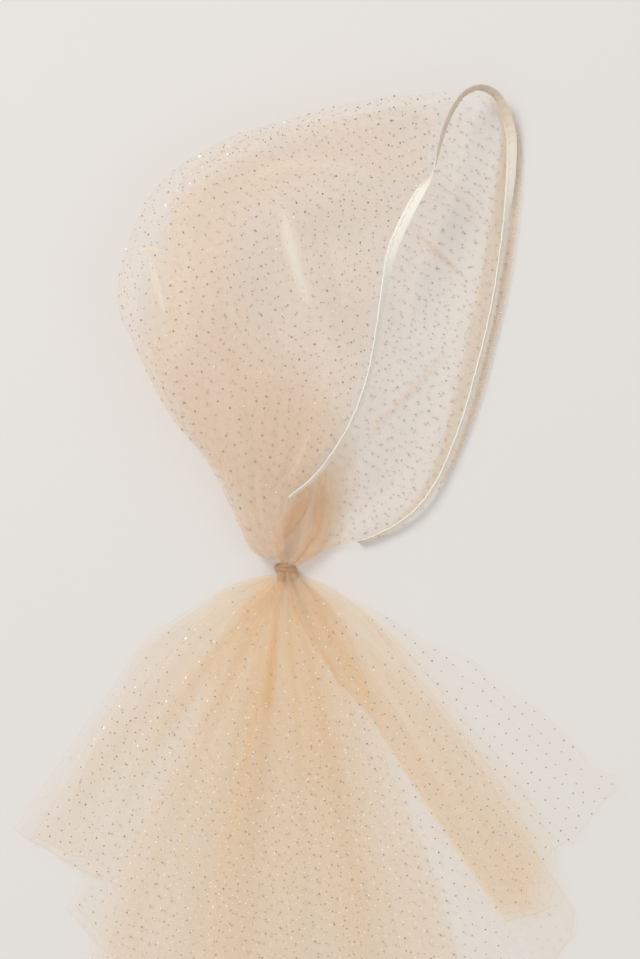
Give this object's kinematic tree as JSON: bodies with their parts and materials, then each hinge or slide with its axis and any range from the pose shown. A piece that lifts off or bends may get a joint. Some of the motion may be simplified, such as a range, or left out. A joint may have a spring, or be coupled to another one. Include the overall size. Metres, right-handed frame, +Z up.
{
  "type": "hair scarf",
  "caption": "Sheer dotted tulle hair scarf laid flat on its side: a puffed hood with an elastic face edge, knotted at the nape, with a fanned layered tail.",
  "frame": {"origin": "on the surface it lies on, under the middle of its footprint", "axes": "+Z up from the surface, +Y towards the top of the hood, +X towards the face opening"},
  "size_m": [0.364, 0.5692, 0.0519],
  "materials": {
    "hood_tulle": "sheer beige net with small staggered silver glitter dots",
    "hem_tulle": "doubled sheer beige net with glitter dots",
    "satin_elastic": "cream satin elastic with fine ribs along it",
    "gathered_tulle": "tightly gathered beige net",
    "knot_tulle": "twisted and knotted beige net",
    "tail_tulle": "sheer beige net in several layers with glitter dots"
  },
  "bodies": {
    "root": {"hood_shell": "hood_tulle", "hood_inner_layer": "hood_tulle", "hood_hem_band": "hem_tulle", "elastic_edging": "satin_elastic", "nape_gather": "gathered_tulle", "nape_knot": "knot_tulle", "tail_under_layer": "tail_tulle", "tail_right_wing": "tail_tulle", "tail_right_band": "tail_tulle", "tail_left_wing_outer": "tail_tulle", "tail_left_wing_inner": "tail_tulle", "tail_centre_lower": "tail_tulle", "tail_centre_upper": "tail_tulle"}
  },
  "joints": []
}
